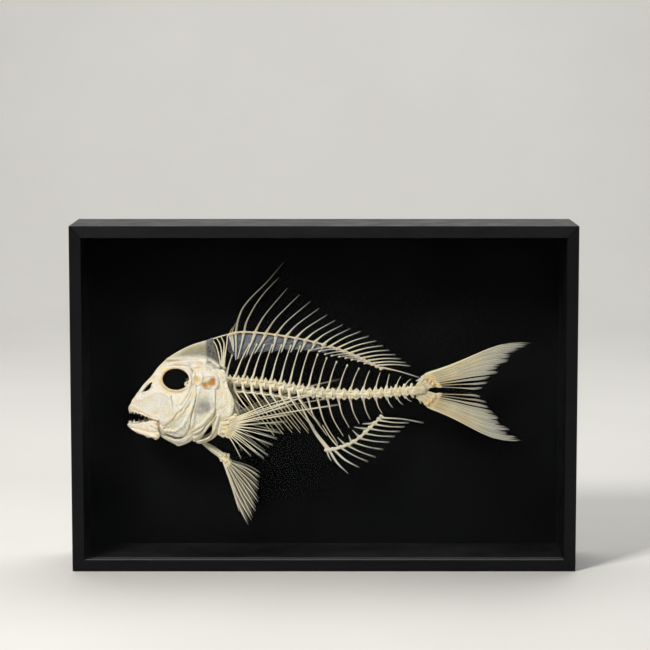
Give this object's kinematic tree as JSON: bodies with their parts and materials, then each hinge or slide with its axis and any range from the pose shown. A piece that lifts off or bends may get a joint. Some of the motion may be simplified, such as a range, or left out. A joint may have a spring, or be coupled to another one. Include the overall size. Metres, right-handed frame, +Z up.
{
  "type": "fish skeleton in display case",
  "caption": "Sea bream skeleton shown from its side in a shallow black-framed, glass-fronted display case that stands upright on its long edge.",
  "frame": {"origin": "middle of the underside of the case, at the centre of its bounding box in plan", "axes": "+X along the fish from its snout to its tail and along the long side of the case, +Y from the glass front to the back panel, +Z up"},
  "size_m": [0.5, 0.1, 0.344],
  "materials": {
    "case": "satin black",
    "glass": "clear, flat",
    "skull_bone": "dry, matt cream with amber patches",
    "gill_cover_bone": "dry, matt, thin and slightly translucent",
    "body_bone": "dry, matt cream",
    "fin_bone": "dry, pale grey",
    "dry_skin": "dry, translucent grey",
    "mount_rod": "dark"
  },
  "bodies": {
    "root": {"case_top": "case", "case_bottom": "case", "case_left": "case", "case_right": "case", "back_panel": "case", "glass": "glass", "cranium": "skull_bone", "upper_jaw": "skull_bone", "lower_jaw": "skull_bone", "cheek_left": "skull_bone", "cheek_right": "skull_bone", "maxilla_left": "skull_bone", "maxilla_right": "skull_bone", "hyomandibular_left": "skull_bone", "hyomandibular_right": "skull_bone", "preopercle_left": "gill_cover_bone", "preopercle_right": "gill_cover_bone", "interopercle_left": "gill_cover_bone", "interopercle_right": "gill_cover_bone", "opercle_left": "gill_cover_bone", "opercle_right": "gill_cover_bone", "vertebrae_trunk": "body_bone", "vertebrae_tail": "body_bone", "ribs_left": "body_bone", "ribs_right": "body_bone", "supraneurals": "body_bone", "caudal_base": "body_bone", "pectoral_girdle_left": "body_bone", "pectoral_girdle_right": "body_bone", "pelvic_girdle": "body_bone", "dorsal_fin_spiny": "fin_bone", "dorsal_fin_soft": "fin_bone", "anal_fin": "fin_bone", "caudal_fin_upper": "fin_bone", "caudal_fin_lower": "fin_bone", "pectoral_fin_left": "fin_bone", "pectoral_fin_right": "fin_bone", "pelvic_fin_left": "fin_bone", "pelvic_fin_right": "fin_bone", "dorsal_membrane": "dry_skin", "mount_pin_skull": "mount_rod", "mount_pin_trunk": "mount_rod", "mount_pin_tail": "mount_rod"}
  },
  "joints": []
}
